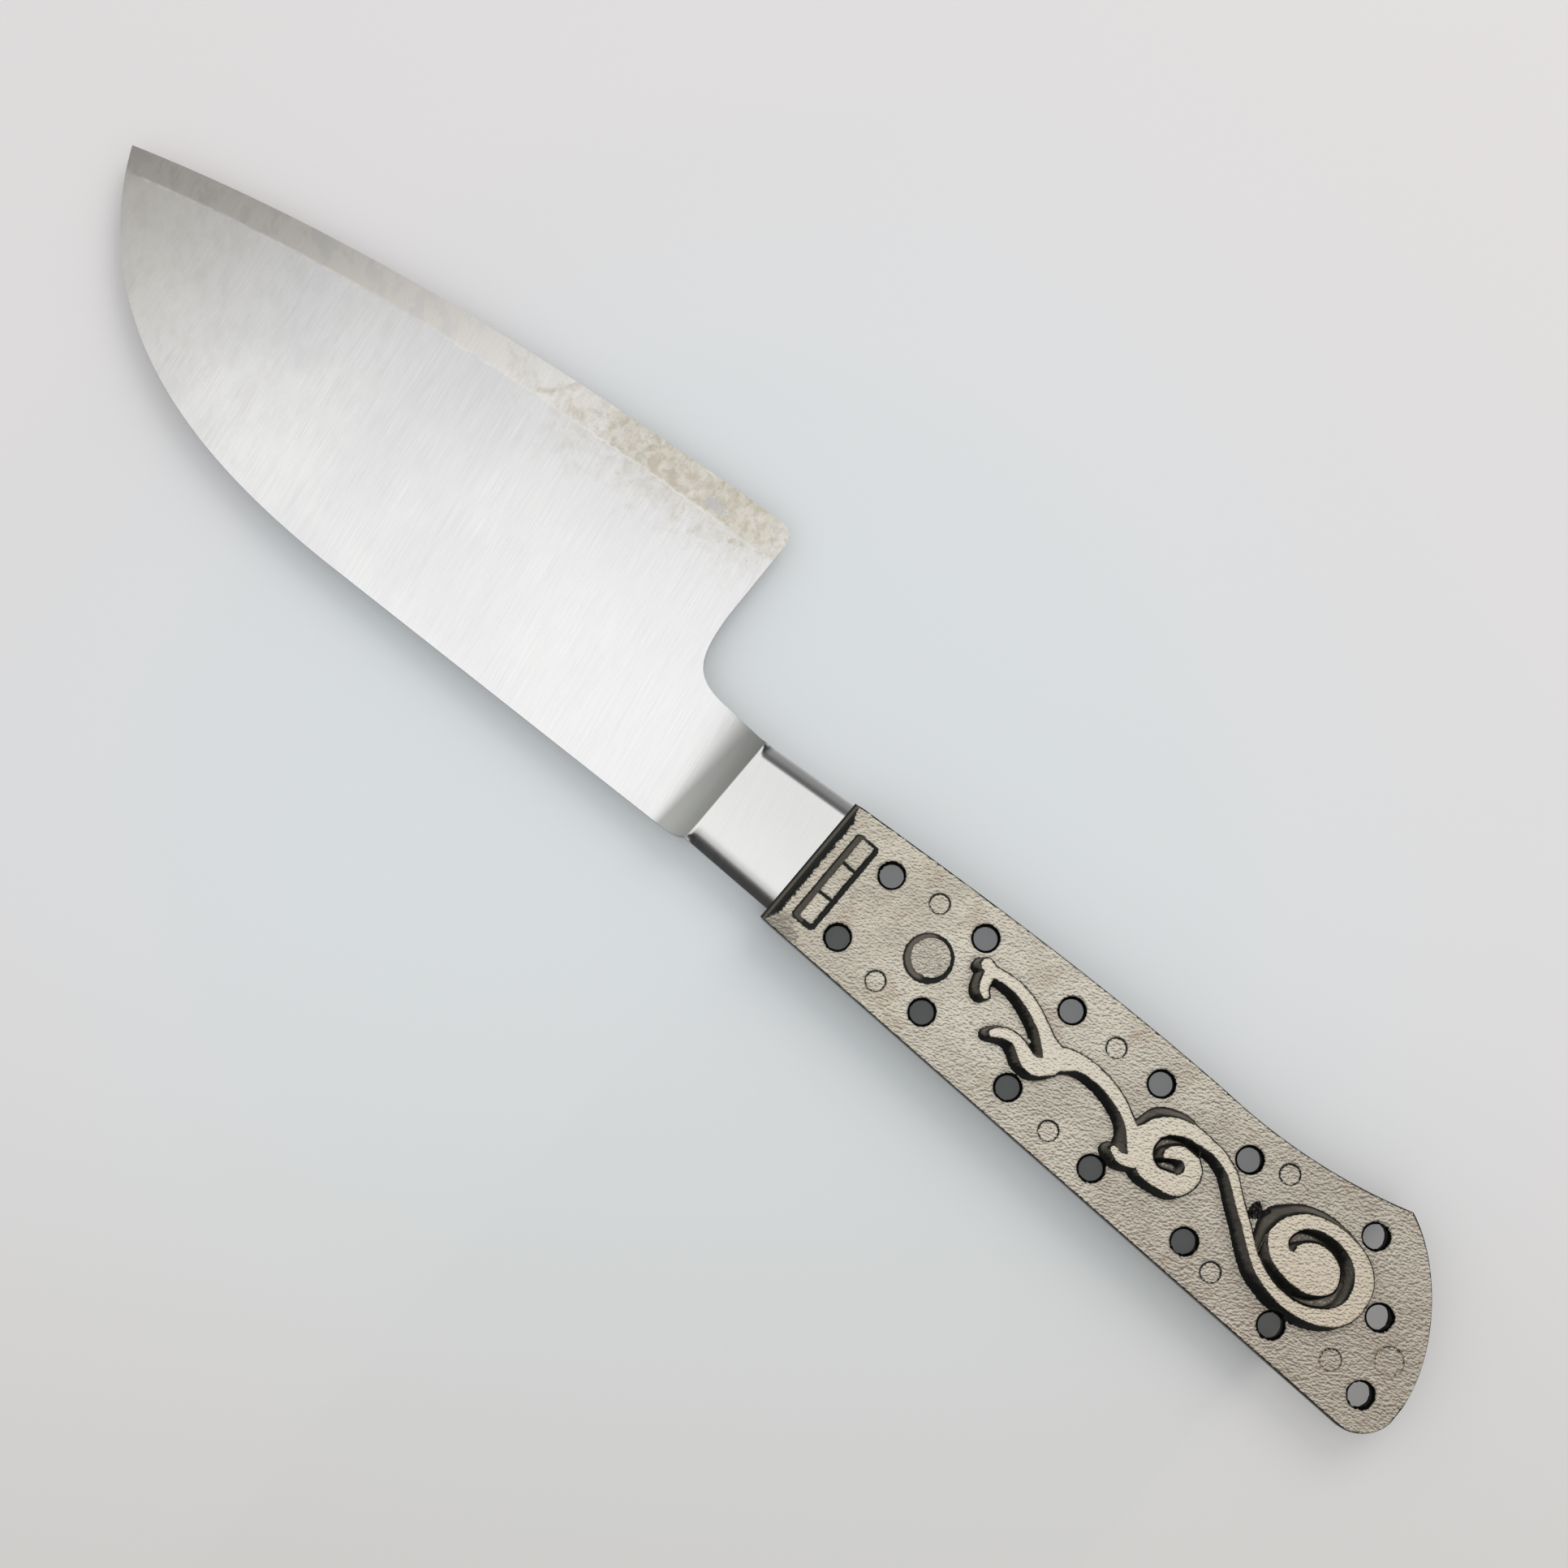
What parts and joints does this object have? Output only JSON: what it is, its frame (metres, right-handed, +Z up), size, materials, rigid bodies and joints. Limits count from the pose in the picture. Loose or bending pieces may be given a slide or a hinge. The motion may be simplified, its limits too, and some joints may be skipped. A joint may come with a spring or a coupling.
{
  "type": "butcher knife",
  "caption": "Butcher knife with a deep flat-ground steel blade, a full tang and a pierced, pebbled metal handle with a raised scroll.",
  "frame": {"origin": "centre of the handle's flat underside, at the middle of the handle's length and on the knife's long axis", "axes": "+X along the knife towards the tip, +Y towards the spine (the cutting edge faces -Y), +Z up out of the decorated face"},
  "size_m": [0.2845, 0.0536, 0.0077],
  "materials": {
    "blade_steel": "satin, brushed across the blade",
    "cast_metal": "pebbled casting with dark patina in the hollows",
    "pin_metal": "dull, ground flush"
  },
  "bodies": {
    "root": {"blade": "blade_steel", "front_scale": "cast_metal", "back_scale": "cast_metal", "bolster_pin": "pin_metal", "front_pins": "pin_metal", "middle_pins": "pin_metal", "rear_pins": "pin_metal", "tail_pins": "pin_metal", "butt_pin": "pin_metal", "wide_butt_pin": "pin_metal"}
  },
  "joints": []
}
